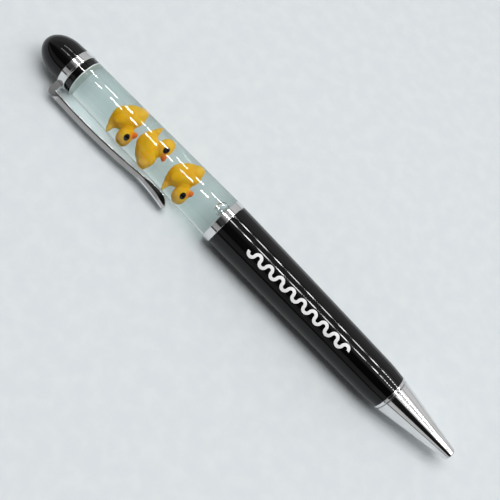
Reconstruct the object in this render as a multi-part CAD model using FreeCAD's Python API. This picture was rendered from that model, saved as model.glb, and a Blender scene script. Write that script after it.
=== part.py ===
import FreeCAD, Part
import math
import os

# A twist-action floaty pen, in millimetres. X runs along the pen, +X towards the writing end, and +Z is up.
# The origin is on the pen's axis, in the middle of the centre band. The pen lies on a table, rolled until
# its pocket clip touches the table beside the centre band.

V = FreeCAD.Vector
X_AXIS = V(1, 0, 0)
Y_AXIS = V(0, 1, 0)
Z_AXIS = V(0, 0, 1)
ORIGIN = V(0, 0, 0)

# Lengths along the pen, from the domed end to the writing end
dome_length = 9.3
clip_band_length = 2.2
tube_seen_length = 48.7
centre_band_length = 2.1
turn_gap = 0.1
barrel_length = 56.0
nose_ring_length = 0.9
nose_length = 20.7

# Fits
running_fit = 0.05
seat_clear = 0.1
axial_play = 0.2
edge_break = 0.15

# Clear tube and its two plugs
bore_r = 4.4
top_spigot_wall = 0.5
top_spigot_length = 1.4
tube_top_shoulder = 0.25
bottom_spigot_wall = 0.65
bottom_spigot_length = 5.05
tube_bottom_shoulder = 0.95
tube_hollow = 0.045
plug_seen_length = 1.8
stud_r = 2.5
stud_length = 5.5
seal_section_r = 0.5
seal_groove_depth = 0.85
seal_groove_width = 1.1
sleeve_seal_length = 1.9
sleeve_seal_flange = 0.2

# Dome, clip band and centre band
dome_round_length = 7.2
dome_flare = 0.15
clip_band_wall = 0.4
clip_lip_height = 0.2
clip_lip_length = 0.6
centre_band_wall = 1.05

# Lower barrel, nose ring and nose cone
barrel_wall = 0.9
barrel_crown = 0.06
barrel_shoulder_drop = 0.38
barrel_shoulder_length = 4.5
barrel_shoulder_bulge = 0.05
nose_spigot_r = 4.3
nose_spigot_length = 7.6
barrel_end_wall = 0.68
nose_ring_wall = 0.76
nose_wall = 0.62
nose_tip_wall = 0.85
nose_tip_round = 0.45
nose_bore_clear = 0.275
nose_hole_length = 3.5
nose_hollow_wall = 0.8
nose_hollow_reach = 3.0

# Pocket clip
clip_sheet = 0.8
clip_leg = 1.65
clip_corner_r = 1.2
clip_inner_corner_r = 0.4
clip_width = 3.8
clip_gap = 1.9
clip_arm_thickness = 1.52
clip_arm_length = 27.8
spoon_length = 10.5
spoon_width = 4.8
spoon_depth = 1.55
spoon_clear = 0.04
spoon_wall = 0.75
spoon_flare = 0.94
spoon_flare_at_middle = 0.22
spoon_edge = 0.45
spoon_dish_share = 0.74
# On the way from the place that bears on the tube to the rim: (share of the way, share of the climb)
spoon_climb = [(0.37, 0.05), (0.74, 0.27)]
# Along the arm: (share of the arm's length, share of the gap that is left there)
clip_closing = [(0.37, 1.03), (0.72, 0.76), (1.0, 0.33)]

# Twist mechanism
twist_range_deg = 150.0
refill_travel = 4.0
carrier_stud_r = 2.8
carrier_stud_length = 3.4
guide_wall = 0.8
guide_length = 30.0
sleeve_length = 27.0
follower_length = 12.0
follower_start_gap = 0.2
pin_r = 0.75
pin_from_end = 1.7
pin_end_gap = 0.15
slot_overcut = 0.3
ring_thickness = 0.6
ring_stand_out = 0.6
ring_groove_depth = 0.35
ring_opening = 3.0

# Refill, a short metal one, 2.35 mm across and 67 mm long between the follower and the writing ball
refill_r = 1.175
refill_wall = 0.3
refill_stop = 3.55
point_length = 12.0
point_r = 0.8
point_cone_length = 2.6
point_cone_end_r = 0.42
point_seat_length = 3.0
ink_channel_r = 0.28
ink_start = 9.0
ball_r = 0.35
ball_stand_out = 0.22
tip_inset = 0.6

# Return spring round the refill's point
spring_wire_r = 0.12
spring_wire_sides = 10
spring_turns = 8

# Ducks in the tube: the moulded figure, and where each one floats
duck_half_length = 3.75
duck_half_width = 2.4
duck_body_forward = 0.3
duck_body_up = -0.15
duck_head_r = 1.95
duck_head_forward = 1.12
duck_head_up = 3.5
duck_neck_r = 1.6
duck_beak_half_length = 1.1
duck_beak_half_height = 0.55
duck_beak_reach = 3.9
duck_beak_drop = 0.25
duck_tail_back = 3.3
duck_tail_up = 3.1
duck_tail_root_r = 1.5
duck_tail_tip_r = 0.3
duck_tail_root_back = 1.9
duck_tail_root_up = 0.4
duck_eye_r = 0.85
duck_eye_set = 1.27
duck_eye_forward = 0.45
duck_eye_rise = 0.35
duck_drawn_reach = 4.2
duck_wall_clear = 0.2
# (distance from the tube's seen top end, depth towards the viewer, pitch in degrees, side that is seen)
duck_places = [
    (15.95, 0.0, 31.0, 1),
    (24.65, 0.35, -36.0, -1),
    (35.35, 0.0, 30.0, 1),
]

# Air bubble, at the top of the bore, pressed flat where it meets the bottom plug
bubble_r = 1.55
bubble_wall_clear = 0.1
bubble_from_plug = 1.1
bubble_side_deg = 34.0

# Printed wave on the barrel
wave_start = 8.3
wave_count = 18
wave_r = 0.92
wave_stroke = 0.8
wave_offset = -0.3
print_thickness = 0.04

# Radii that follow from what fits in what
top_spigot_r = bore_r + top_spigot_wall
tube_top_r = top_spigot_r + tube_top_shoulder
bottom_spigot_r = bore_r + bottom_spigot_wall
tube_bottom_r = bottom_spigot_r + tube_bottom_shoulder
tube_middle_r = (tube_top_r + tube_bottom_r) / 2 - tube_hollow
clip_band_r = top_spigot_r + clip_band_wall
clip_lip_r = clip_band_r + clip_lip_height
dome_r = clip_band_r - edge_break
dome_round_r = dome_r - dome_flare
centre_band_r = bottom_spigot_r + centre_band_wall
barrel_bore_r = bottom_spigot_r + running_fit
barrel_top_r = barrel_bore_r + barrel_wall
barrel_end_r = nose_spigot_r + barrel_end_wall
barrel_shoulder_r = barrel_end_r + barrel_shoulder_drop
barrel_middle_r = (barrel_top_r + barrel_shoulder_r) / 2 + barrel_crown
nose_ring_r = nose_spigot_r + nose_ring_wall
nose_r = nose_spigot_r + nose_wall
nose_hole_r = point_r + seat_clear
nose_tip_r = nose_hole_r + nose_tip_wall
nose_bore_r = refill_r + nose_bore_clear
guide_r = carrier_stud_r + guide_wall
spring_mean_r = point_r + seat_clear + spring_wire_r

# Places along X that follow from the lengths
band_start_x = -centre_band_length / 2
band_end_x = centre_band_length / 2
tube_top_x = band_start_x - tube_seen_length
clip_band_x = tube_top_x - clip_band_length
dome_end_x = clip_band_x - dome_length
barrel_start_x = band_end_x + turn_gap
barrel_end_x = barrel_start_x + barrel_length
nose_ring_end_x = barrel_end_x + nose_ring_length
nose_end_x = nose_ring_end_x + nose_length
tube_spigot_end_x = band_start_x + bottom_spigot_length
washer_end_x = clip_band_x + clip_sheet
tube_end_x = tube_top_x - top_spigot_length
top_plug_face_x = tube_top_x + plug_seen_length
carrier_end_x = tube_spigot_end_x + carrier_stud_length
guide_end_x = tube_spigot_end_x + guide_length
sleeve_start_x = tube_spigot_end_x + axial_play
sleeve_end_x = sleeve_start_x + sleeve_length
follower_start_x = carrier_end_x + follower_start_gap
pin_x = follower_start_x + pin_from_end
refill_start_x = follower_start_x + refill_stop
refill_end_x = nose_end_x - tip_inset
shoulder_x = refill_end_x - point_length
spring_seat_x = nose_end_x - nose_hole_length
clip_leg_end_x = clip_band_x + clip_leg


def line(a, b):
    return Part.makeLine(V(*a, 0), V(*b, 0))


def arc(a, b, c):
    return Part.Arc(V(*a, 0), V(*b, 0), V(*c, 0)).toShape()


def round_corner(a, corner, b):
    """A quarter round from a to b that takes the place of a square corner of equal sides."""
    middle = [(p + q) / 2 - (c - (p + q) / 2) * (1 - math.sqrt(2)) for p, c, q in zip(a, corner, b)]
    return arc(a, middle, b)


def curve(points):
    """A smooth edge through a few (x, height) points."""
    spline = Part.BSplineCurve()
    spline.interpolate([V(x, y, 0) for x, y in points])
    return spline.toShape()


def polyline(points):
    return [line(a, b) for a, b in zip(points, points[1:])]


def revolved(edges):
    """The solid turned about X by a closed outline of edges, each point given as (x, radius)."""
    face = Part.Face(Part.Wire(edges))
    return face.revolve(ORIGIN, X_AXIS, 360)


def turned(points):
    """A turned solid from a closed outline of straight runs."""
    return revolved(polyline(points + points[:1]))


def tube_between(x1, x2, outer, inner=0.0):
    shape = Part.makeCylinder(outer, x2 - x1, V(x1, 0, 0), X_AXIS)
    if inner:
        shape = shape.cut(Part.makeCylinder(inner, x2 - x1, V(x1, 0, 0), X_AXIS))
    return shape


def box(x1, x2, y1, y2, z1, z2):
    return Part.makeBox(x2 - x1, y2 - y1, z2 - z1, V(x1, y1, z1))


def along_x(shape):
    """Turns a shape built about Z so that it lies about X."""
    shape = shape.copy()
    shape.rotate(ORIGIN, Y_AXIS, 90)
    return shape


def arc_height(x, a, b, c):
    """Height at x of the circle through three (x, height) points."""
    (x1, y1), (x2, y2), (x3, y3) = a, b, c
    d = 2 * (x1 * (y2 - y3) + x2 * (y3 - y1) + x3 * (y1 - y2))
    q1 = x1 * x1 + y1 * y1
    q2 = x2 * x2 + y2 * y2
    q3 = x3 * x3 + y3 * y3
    centre_x = (q1 * (y2 - y3) + q2 * (y3 - y1) + q3 * (y1 - y2)) / d
    centre_y = (q1 * (x3 - x2) + q2 * (x1 - x3) + q3 * (x2 - x1)) / d
    reach = math.sqrt(math.hypot(x1 - centre_x, y1 - centre_y) ** 2 - (x - centre_x) ** 2)
    return centre_y - math.copysign(reach, centre_y - y1)


tube_outline = [
    (tube_top_x, tube_top_r),
    ((tube_top_x + band_start_x) / 2, tube_middle_r),
    (band_start_x, tube_bottom_r),
]


def tube_radius(x):
    return arc_height(x, *tube_outline)


def clip_side_points():
    """The arm's underside and outer side from the leg to the spoon: the arm closes on the tube as it goes."""
    gaps = [(clip_inner_corner_r, clip_gap)]
    for along, open_share in clip_closing:
        gaps.append((along * clip_arm_length, open_share * clip_gap))
    under = [(clip_leg_end_x + d, tube_radius(clip_leg_end_x + d) + gap) for d, gap in gaps]
    outer = [(x, y + clip_arm_thickness) for x, y in under]
    return under, outer


# The pen rolls about its axis until the clip's outer edge is as low as the underside of the centre band
clip_under, clip_outer = clip_side_points()
clip_height = max(y for x, y in clip_outer)
clip_edge_reach = math.hypot(clip_height, clip_width / 2)
clip_edge_angle = math.atan2(clip_width / 2, clip_height)
roll_deg = math.degrees(math.asin(centre_band_r / clip_edge_reach) - clip_edge_angle)


def dome_cap():
    round_x = dome_end_x + dome_round_length
    dome = Part.Ellipse(V(0, 0, 0), dome_round_length, dome_round_r)
    quarter = dome.toShape(math.pi / 2, math.pi)
    quarter.translate(V(round_x, 0, 0))
    edges = [quarter]
    edges += polyline([
        (round_x, dome_round_r),
        (clip_band_x, dome_r),
        (clip_band_x, 0),
        (dome_end_x, 0),
    ])
    bore = tube_between(clip_band_x - stud_length, clip_band_x, stud_r)
    return revolved(edges).cut(bore)


def clip_band():
    lip_x = tube_top_x - clip_lip_length
    ring = turned([
        (clip_band_x, top_spigot_r),
        (clip_band_x, clip_band_r - edge_break),
        (clip_band_x + edge_break, clip_band_r),
        (lip_x, clip_band_r),
        (lip_x, clip_lip_r),
        (tube_top_x, clip_lip_r),
        (tube_top_x, top_spigot_r),
    ])
    side = clip_width / 2 + seat_clear
    slot_end_x = clip_band_x + clip_leg + seat_clear
    return ring.cut(box(clip_band_x - 1, slot_end_x, -clip_lip_r - 1, 0, -side, side))


def clip():
    """Pocket clip, formed from one strip: a washer round the stud, a leg, a springy arm and a dished end."""
    root = top_spigot_r - clip_sheet
    inside = top_spigot_r + seat_clear
    spoon_end_x = clip_leg_end_x + clip_arm_length + spoon_length
    low_x = spoon_end_x - spoon_length / 2
    low = (low_x, tube_radius(low_x) + spoon_clear)
    kink = clip_outer[-1]
    rim = (spoon_end_x - spoon_edge, kink[1] + spoon_flare)
    end = (spoon_end_x, rim[1] - spoon_edge)
    climb = [(low[0] + way * (end[0] - low[0]), low[1] + rise * (end[1] - low[1])) for way, rise in spoon_climb]
    corner_y = clip_outer[0][1]
    corner = (clip_band_x, corner_y - clip_corner_r)
    bend = (clip_band_x + clip_corner_r, corner_y)
    edges = polyline([(washer_end_x, root), (clip_band_x, root), corner])
    edges.append(round_corner(corner, (clip_band_x, corner_y), bend))
    edges.append(curve([bend] + clip_outer[1:]))
    edges.append(curve([kink, ((kink[0] + rim[0]) / 2, kink[1] + spoon_flare_at_middle), rim]))
    edges.append(round_corner(rim, (spoon_end_x, rim[1]), end))
    edges.append(curve([end] + climb[::-1] + [low, clip_under[-1]]))
    edges.append(curve(clip_under[::-1]))
    inner_corner = (clip_leg_end_x, clip_under[0][1] - clip_inner_corner_r)
    edges.append(round_corner(clip_under[0], (clip_leg_end_x, clip_under[0][1]), inner_corner))
    edges += polyline([inner_corner, (clip_leg_end_x, inside), (washer_end_x, inside), (washer_end_x, root)])
    face = Part.Face(Part.Wire(edges))
    face.translate(V(0, 0, -spoon_width))
    strip = face.extrude(V(0, 0, 2 * spoon_width))

    # Seen from above, a straight strip that widens to a leaf-shaped end
    side = clip_width / 2
    spoon_x = spoon_end_x - spoon_length / 2
    strip_plan = box(clip_band_x - 1, spoon_x, 0, 2 * clip_height, -side, side)
    leaf = Part.Ellipse(ORIGIN, spoon_length / 2, spoon_width / 2).toShape()
    leaf = Part.Face(Part.Wire([leaf]))
    leaf.rotate(ORIGIN, X_AXIS, 90)
    leaf.translate(V(spoon_x, 2 * clip_height, 0))
    leaf = leaf.extrude(V(0, -2 * clip_height, 0))
    strip = strip.common(strip_plan.fuse(leaf))

    # The dish in the outer side of the leaf leaves an even wall above the side that bears on the tube
    dish = Part.makeSphere(1)
    stretch = FreeCAD.Matrix()
    stretch.scale(spoon_dish_share * spoon_length / 2, spoon_depth, spoon_width / 2 - spoon_wall)
    dish = dish.transformGeometry(stretch)
    dish.translate(V(low[0], low[1] + spoon_wall + spoon_depth, 0))
    strip = strip.cut(dish)
    washer = tube_between(clip_band_x, washer_end_x, top_spigot_r, stud_r)
    body = strip.fuse(washer).removeSplitter()
    body.rotate(ORIGIN, X_AXIS, 180)
    return body


def clear_tube():
    edges = polyline([
        (tube_end_x, bore_r),
        (tube_end_x, top_spigot_r),
        (tube_top_x, top_spigot_r),
        (tube_top_x, tube_top_r),
    ])
    edges.append(arc(*tube_outline))
    edges += polyline([
        (band_start_x, tube_bottom_r),
        (band_start_x, bottom_spigot_r),
        (tube_spigot_end_x, bottom_spigot_r),
        (tube_spigot_end_x, bore_r),
        (tube_end_x, bore_r),
    ])
    return revolved(edges)


bottom_seal_x = (band_start_x + tube_spigot_end_x) / 2


def bottom_seal_groove():
    half = seal_groove_width / 2
    return tube_between(bottom_seal_x - half, bottom_seal_x + half, bore_r, bore_r - seal_groove_depth)


def bottom_seal():
    """O-ring that fills its groove from the groove's floor to the bore."""
    mean_r = bore_r - seal_groove_depth / 2
    ring = Part.makeTorus(mean_r, seal_section_r, V(bottom_seal_x, 0, 0), X_AXIS)
    return ring.common(bottom_seal_groove())


def top_seal():
    """Sleeve of rubber round the nose of the top plug, held behind a thin flange at the plug's face."""
    end_x = top_plug_face_x - sleeve_seal_flange
    return tube_between(end_x - sleeve_seal_length, end_x, bore_r, bore_r - seal_groove_depth)


def top_plug():
    plug = tube_between(tube_end_x, top_plug_face_x, bore_r)
    washer_seat = tube_between(washer_end_x, tube_end_x, stud_r)
    stud = tube_between(clip_band_x - stud_length, washer_end_x, stud_r)
    return plug.fuse(washer_seat).fuse(stud).removeSplitter().cut(top_seal())


def bottom_plug():
    plug = tube_between(band_start_x, tube_spigot_end_x, bore_r)
    stud = tube_between(tube_spigot_end_x, carrier_end_x, carrier_stud_r)
    return plug.fuse(stud).removeSplitter().cut(bottom_seal_groove())


def centre_band():
    return turned([
        (band_start_x, bottom_spigot_r),
        (band_start_x, centre_band_r - edge_break),
        (band_start_x + edge_break, centre_band_r),
        (band_end_x - edge_break, centre_band_r),
        (band_end_x, centre_band_r - edge_break),
        (band_end_x, bottom_spigot_r),
    ])


def duck_figure():
    """One bath-duck figure about its own origin, facing +X, with +Z up: a body, neck, head, beak and tail."""
    body_outline = Part.Ellipse(ORIGIN, duck_half_length, duck_half_width).toShape(0, math.pi)
    body = revolved([body_outline, line((-duck_half_length, 0), (duck_half_length, 0))])
    body.translate(V(duck_body_forward, 0, duck_body_up))
    head_centre = V(duck_head_forward, 0, duck_head_up)
    head = Part.makeSphere(duck_head_r, head_centre)
    neck = Part.makeCylinder(duck_neck_r, duck_head_up, V(duck_head_forward, 0, 0), Z_AXIS)
    beak_outline = Part.Ellipse(ORIGIN, duck_beak_half_length, duck_beak_half_height)
    beak_edges = [
        beak_outline.toShape(-math.pi / 2, math.pi / 2),
        line((0, duck_beak_half_height), (0, -duck_beak_half_height)),
    ]
    beak = Part.Face(Part.Wire(beak_edges)).revolve(ORIGIN, Y_AXIS, 360)
    beak.rotate(ORIGIN, X_AXIS, 90)
    beak.translate(V(duck_beak_reach - duck_beak_half_length, 0, duck_head_up - duck_beak_drop))
    tail_root = V(-duck_tail_root_back, 0, duck_tail_root_up)
    tail_tip = V(-duck_tail_back, 0, duck_tail_up)
    tail_run = tail_tip - tail_root
    tail = Part.makeCone(duck_tail_root_r, duck_tail_tip_r, tail_run.Length, tail_root, tail_run)
    tail = tail.fuse(Part.makeSphere(duck_tail_tip_r, tail_tip))
    figure = body
    for piece in (neck, head, beak, tail):
        figure = figure.fuse(piece)
    return figure.removeSplitter()


def duck_eye_balls():
    eyes = []
    for side in (1, -1):
        forward = duck_head_forward + duck_eye_forward
        centre = V(forward, side * duck_eye_set, duck_head_up + duck_eye_rise)
        eyes.append(Part.makeSphere(duck_eye_r, centre))
    return Part.makeCompound(eyes)


def floated(shape, place):
    """Puts a duck piece at its place: sized to the bore, pitched on its side, with its tail near the wall."""
    along, depth, pitch, side = place
    reach = bore_r - duck_wall_clear
    slope = math.radians(abs(pitch))
    tail_reach = duck_tail_back * math.sin(slope) + duck_tail_up * math.cos(slope) + duck_tail_tip_r
    size = reach / duck_drawn_reach
    across = side * (tail_reach * size - reach)
    shape = shape.copy()
    shape.scale(size, ORIGIN)
    # The figure lies on its side, so that its head points across the view, up or down
    shape.rotate(ORIGIN, X_AXIS, 90 * side)
    shape.rotate(ORIGIN, Z_AXIS, pitch)
    shape.translate(V(tube_top_x + along, across, depth))
    return rolled(shape)


def rolled(shape):
    """Turns a shape built with the clip towards -Y to the roll at which the pen rests."""
    shape = shape.copy()
    shape.rotate(ORIGIN, X_AXIS, roll_deg)
    return shape


def bubble():
    side = math.radians(bubble_side_deg)
    reach = bore_r - bubble_r - bubble_wall_clear
    centre = V(band_start_x - bubble_from_plug, reach * math.sin(side), reach * math.cos(side))
    return rolled(Part.makeSphere(bubble_r, centre))


def guide_tube():
    slot_start = pin_x - pin_r - seat_clear
    slot_end = pin_x + refill_travel + pin_r + seat_clear
    tube = tube_between(tube_spigot_end_x, guide_end_x, guide_r, carrier_stud_r)
    side = pin_r + running_fit
    slot = box(slot_start + side, slot_end - side, -side, side, -guide_r - 1, guide_r + 1)
    for x in (slot_start + side, slot_end - side):
        slot = slot.fuse(Part.makeCylinder(side, 2 * guide_r + 2, V(x, 0, -guide_r - 1), Z_AXIS))
    return tube.cut(slot).cut(ring_groove())


ring_x = sleeve_end_x + axial_play


def ring_groove():
    return tube_between(ring_x, ring_x + ring_thickness, guide_r + 1, guide_r - ring_groove_depth)


def retaining_ring():
    ring = tube_between(ring_x, ring_x + ring_thickness, guide_r + ring_stand_out, guide_r - ring_groove_depth)
    opening = box(ring_x - 1, ring_x + ring_thickness + 1, 0, guide_r + 2, -ring_opening / 2, ring_opening / 2)
    return ring.cut(opening)


def helical_slot(start_angle):
    """A slot through the sleeve that leads the pin forward by the travel over the twist range."""
    side = pin_r + seat_clear
    turn = twist_range_deg / 360
    pitch = refill_travel / turn
    mid_r = (guide_r + barrel_bore_r) / 2
    helix = Part.makeHelix(pitch, refill_travel, mid_r, 0, True)
    inner = guide_r - slot_overcut
    outer = barrel_bore_r + slot_overcut
    corners = [V(inner, 0, -side), V(outer, 0, -side), V(outer, 0, side), V(inner, 0, side)]
    profile = Part.makePolygon(corners + corners[:1])
    slot = Part.Wire(helix).makePipeShell([profile], True, True)
    for angle, height in ((0, 0), (-twist_range_deg, refill_travel)):
        end = Part.makeCylinder(side, outer - inner, V(inner, 0, height), X_AXIS)
        end.rotate(ORIGIN, Z_AXIS, angle)
        slot = slot.fuse(end)
    slot = along_x(slot)
    slot.rotate(ORIGIN, X_AXIS, start_angle)
    slot.translate(V(pin_x, 0, 0))
    return slot


def cam_sleeve():
    sleeve = tube_between(sleeve_start_x, sleeve_end_x, barrel_bore_r, guide_r + running_fit)
    for start_angle in (0, 180):
        sleeve = sleeve.cut(helical_slot(start_angle))
    return sleeve


def follower():
    body = tube_between(follower_start_x, follower_start_x + follower_length, carrier_stud_r - running_fit)
    socket = tube_between(refill_start_x, follower_start_x + follower_length, refill_r)
    hole = Part.makeCylinder(pin_r, 2 * carrier_stud_r, V(pin_x, 0, -carrier_stud_r), Z_AXIS)
    return body.cut(socket).cut(hole)


def follower_pin():
    reach = barrel_bore_r - pin_end_gap
    return Part.makeCylinder(pin_r, 2 * reach, V(pin_x, 0, -reach), Z_AXIS)


def refill_tube():
    return turned([
        (refill_start_x, refill_r - refill_wall),
        (refill_start_x, refill_r),
        (shoulder_x, refill_r),
        (shoulder_x, refill_r - refill_wall),
    ])


ball_x = refill_end_x - ball_r


def refill_tip():
    stem_x = shoulder_x - point_seat_length
    cone_x = refill_end_x - point_cone_length
    face_x = refill_end_x - ball_stand_out
    body = turned([
        (stem_x, ink_channel_r),
        (stem_x, refill_r - refill_wall),
        (shoulder_x, refill_r - refill_wall),
        (shoulder_x, point_r),
        (cone_x, point_r),
        (face_x, point_cone_end_r),
        (face_x, ink_channel_r),
    ])
    return body.cut(Part.makeSphere(ball_r, V(ball_x, 0, 0)))


def ink_fill():
    return tube_between(refill_start_x + ink_start, shoulder_x - point_seat_length, refill_r - refill_wall)


def barrel_outline(extra=0.0):
    """Outer edges of the barrel from its top to its end: one long gentle curve and a short rounded shoulder."""
    shoulder_start_x = barrel_end_x - barrel_shoulder_length
    middle_x = (barrel_start_x + shoulder_start_x) / 2
    top = (barrel_start_x, barrel_top_r + extra)
    middle = (middle_x, barrel_middle_r + extra)
    shoulder = (shoulder_start_x, barrel_shoulder_r + extra)
    end = (barrel_end_x, barrel_end_r + extra)
    bend = ((shoulder[0] + end[0]) / 2, (shoulder[1] + end[1]) / 2 + barrel_shoulder_bulge)
    return [curve([top, middle, shoulder]), arc(shoulder, bend, end)]


def barrel_solid(extra=0.0):
    """The barrel with no bore, and with its outside further out by extra."""
    edges = barrel_outline(extra) + polyline([
        (barrel_end_x, barrel_end_r + extra),
        (barrel_end_x, 0),
        (barrel_start_x, 0),
        (barrel_start_x, barrel_top_r + extra),
    ])
    return revolved(edges)


def lower_barrel():
    step_x = guide_end_x + seat_clear
    wide_bore = tube_between(barrel_start_x, step_x, barrel_bore_r)
    narrow_bore = tube_between(step_x, barrel_end_x, nose_spigot_r)
    return barrel_solid().cut(wide_bore.fuse(narrow_bore))


def barrel_print():
    """White wave of half rings, as thick as its film of ink, wrapped round the barrel's upper side."""
    outside = barrel_solid(print_thickness)
    inside = barrel_solid()
    height = 2 * barrel_top_r
    reach = wave_r + wave_stroke
    wave = None
    for number in range(wave_count):
        ring = Part.makeCylinder(wave_r + wave_stroke / 2, height)
        ring = ring.cut(Part.makeCylinder(wave_r - wave_stroke / 2, height))
        low_y = 0 if number % 2 else -reach
        half = ring.common(box(-reach, reach, low_y, low_y + reach, 0, height))
        centre_x = barrel_start_x + wave_start + wave_r * (2 * number + 1)
        half.translate(V(centre_x, wave_offset, 0))
        film = half.common(outside).cut(inside)
        wave = wave.fuse(film) if wave else film
    return rolled(wave)


def nose_ring():
    return turned([
        (barrel_end_x, nose_spigot_r),
        (barrel_end_x, nose_ring_r - edge_break),
        (barrel_end_x + edge_break, nose_ring_r),
        (nose_ring_end_x - 2 * edge_break, nose_ring_r),
        (nose_ring_end_x, nose_ring_r - 2 * edge_break),
        (nose_ring_end_x, nose_spigot_r),
    ])


def nose_cone():
    round_x = nose_end_x - nose_tip_round
    edges = polyline([
        (nose_end_x, nose_hole_r),
        (spring_seat_x, nose_hole_r),
        (spring_seat_x, nose_bore_r),
        (nose_ring_end_x + nose_hollow_reach, nose_bore_r),
        (nose_ring_end_x + nose_hollow_reach, nose_spigot_r - nose_hollow_wall),
        (nose_ring_end_x - nose_spigot_length, nose_spigot_r - nose_hollow_wall),
        (nose_ring_end_x - nose_spigot_length, nose_spigot_r),
        (nose_ring_end_x, nose_spigot_r),
        (nose_ring_end_x, nose_r - edge_break),
        (nose_ring_end_x + edge_break, nose_r),
        (round_x, nose_tip_r),
    ])
    face_edge = (nose_end_x, nose_tip_r - nose_tip_round)
    edges.append(round_corner((round_x, nose_tip_r), (nose_end_x, nose_tip_r), face_edge))
    edges.append(line(face_edge, (nose_end_x, nose_hole_r)))
    return revolved(edges)


def return_spring():
    """Coil spring whose wire has a section of many flat sides in place of a circle."""
    height = spring_seat_x - shoulder_x - 2 * spring_wire_r
    helix = Part.makeHelix(height / spring_turns, height, spring_mean_r)
    corners = []
    for side in range(spring_wire_sides):
        angle = 2 * math.pi * side / spring_wire_sides
        across = spring_mean_r + spring_wire_r * math.cos(angle)
        corners.append(V(across, 0, spring_wire_r * math.sin(angle)))
    section = Part.makePolygon(corners + corners[:1])
    wire = Part.Wire(helix).makePipeShell([section], True, True)
    wire = along_x(wire)
    wire.translate(V(shoulder_x + spring_wire_r, 0, 0))
    return wire


def build():
    duck_shape = duck_figure()
    eye_balls = duck_eye_balls()
    eyes = eye_balls.cut(duck_shape)
    nodes = {
        "dome_cap": dome_cap(),
        "clip_band": rolled(clip_band()),
        "clip": rolled(clip()),
        "clear_tube": clear_tube(),
        "top_plug": top_plug(),
        "top_seal": top_seal(),
        "bottom_plug": bottom_plug(),
        "bottom_seal": bottom_seal(),
        "centre_band": centre_band(),
        "guide_tube": guide_tube(),
        "retaining_ring": retaining_ring(),
        "cam_sleeve": cam_sleeve(),
        "follower": follower(),
        "follower_pin": follower_pin(),
        "refill_tube": refill_tube(),
        "refill_tip": refill_tip(),
        "writing_ball": Part.makeSphere(ball_r, V(ball_x, 0, 0)),
        "ink_fill": ink_fill(),
        "lower_barrel": lower_barrel(),
        "barrel_print": barrel_print(),
        "nose_ring": nose_ring(),
        "nose_cone": nose_cone(),
        "return_spring": return_spring(),
    }
    oil = tube_between(top_plug_face_x, band_start_x, bore_r).cut(bubble())
    for number, place in enumerate(duck_places, 1):
        duck = floated(duck_shape, place)
        duck_eyes = floated(eyes, place)
        nodes[f"duck_{number}"] = duck
        nodes[f"duck_{number}_eyes"] = duck_eyes
        oil = oil.cut(duck.fuse(duck_eyes.Solids))
    nodes["oil_fill"] = oil
    return nodes


os.makedirs("parts", exist_ok=True)
for name, shape in build().items():
    solids = shape.Solids
    shape = solids[0] if len(solids) == 1 else Part.makeCompound(solids)
    print(f"{name}: solids {len(solids)}, valid {shape.isValid()}, volume {shape.Volume:.2f}")
    shape.exportStep(f"parts/{name}.step")
print(f"roll {roll_deg:.2f} degrees, refill lead {refill_travel / math.radians(twist_range_deg):.4f} mm per radian")
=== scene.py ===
# %% [markdown]
# A floaty pen, dressed for its picture
#
# This pen has a clear tube full of oil in which three small ducks float, a gloss black dome and lower
# barrel, and bright plated bands, clip and nose. The measured solids are loaded first and never moved.
# Each piece that shows is then modelled again over its solid with softer edges, and the pieces inside
# keep their solids and get a finish.

# %% Load the measured pen
import math

import bpy
from mathutils import Matrix, Vector


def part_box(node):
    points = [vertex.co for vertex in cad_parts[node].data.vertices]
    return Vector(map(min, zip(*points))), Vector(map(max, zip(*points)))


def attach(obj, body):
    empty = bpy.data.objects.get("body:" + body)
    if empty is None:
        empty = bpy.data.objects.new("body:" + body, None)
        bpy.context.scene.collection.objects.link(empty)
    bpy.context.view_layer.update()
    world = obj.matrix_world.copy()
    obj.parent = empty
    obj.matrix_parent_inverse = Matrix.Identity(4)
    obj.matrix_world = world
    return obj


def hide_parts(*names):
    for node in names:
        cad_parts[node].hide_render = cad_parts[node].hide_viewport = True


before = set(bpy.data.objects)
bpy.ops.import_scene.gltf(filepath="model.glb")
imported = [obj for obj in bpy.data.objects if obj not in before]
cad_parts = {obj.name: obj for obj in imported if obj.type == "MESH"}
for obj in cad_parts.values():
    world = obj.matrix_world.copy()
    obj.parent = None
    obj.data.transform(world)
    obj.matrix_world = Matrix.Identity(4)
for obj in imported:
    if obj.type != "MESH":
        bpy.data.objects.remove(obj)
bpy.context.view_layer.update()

# %% [markdown]
# Sizes
#
# The solids are in metres, and a pen is easier to think about in millimetres, so lengths below are in
# millimetres and one factor turns them. Places along the pen come from the solids' boxes. The radii are
# those of the real fits: what is pressed into what shares one radius.

# %% Read the stations along the pen from the solids
MM = 0.001


def span(node):
    """Lowest and highest x of a solid, in millimetres."""
    low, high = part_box(node)
    return low[0] / MM, high[0] / MM


def outer_radius(node):
    """Highest z of a solid turned about the pen's axis, in millimetres."""
    low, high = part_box(node)
    return high[2] / MM


dome_start, dome_end = span("dome_cap")
clip_band_start, tube_seen_start = span("clip_band")
tube_start, tube_end = span("clear_tube")
band_start, band_end = span("centre_band")
barrel_start, barrel_end = span("lower_barrel")
ring_start, ring_end = span("nose_ring")
nose_spigot_start, nose_end = span("nose_cone")
print("pen from", round(dome_start, 2), "to", round(nose_end, 2), "mm")

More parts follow.
